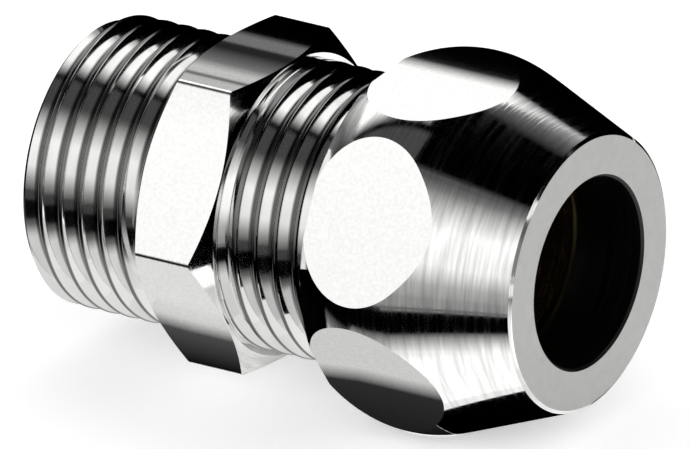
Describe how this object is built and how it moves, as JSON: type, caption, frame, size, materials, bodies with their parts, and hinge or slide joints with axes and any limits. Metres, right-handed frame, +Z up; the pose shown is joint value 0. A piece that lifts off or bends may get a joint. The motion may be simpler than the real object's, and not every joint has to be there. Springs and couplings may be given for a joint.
{
  "type": "straight male compression connector",
  "caption": "Straight pipe connector with a male pipe thread at one end and a compression nut and ring for a copper pipe at the other.",
  "frame": {"origin": "centre of the flat end of the outlet thread", "axes": "+X along the axis of the fitting, from the outlet thread towards the pipe entry; +Z up through a flat of the body's hexagon"},
  "size_m": [0.045, 0.0302, 0.0274],
  "materials": {
    "plated_body": "turned brass, nickel plated and bright, with fine turning lines",
    "plated_nut": "turned brass, nickel plated and bright, with turning lines round the cone",
    "bare_brass": "bare turned brass, satin"
  },
  "bodies": {
    "body": {"fitting_body": "plated_body"},
    "ring": {"compression_ring": "bare_brass"},
    "nut": {"compression_nut": "plated_nut"}
  },
  "joints": [
    {"name": "ring_slide", "type": "slide", "parent": "body", "child": "ring", "axis": [1, 0, 0], "range_m": [-0.0022, 0.0022]},
    {"name": "nut_turn", "type": "hinge", "parent": "ring", "child": "nut", "pos_m": [0.036, 0, 0], "axis": [1, 0, 0], "range_deg": [-435, 435]}
  ],
  "couplings": [
    {"joint": "ring_slide", "follows": "nut_turn", "m_per_rad": 0.00028871}
  ]
}
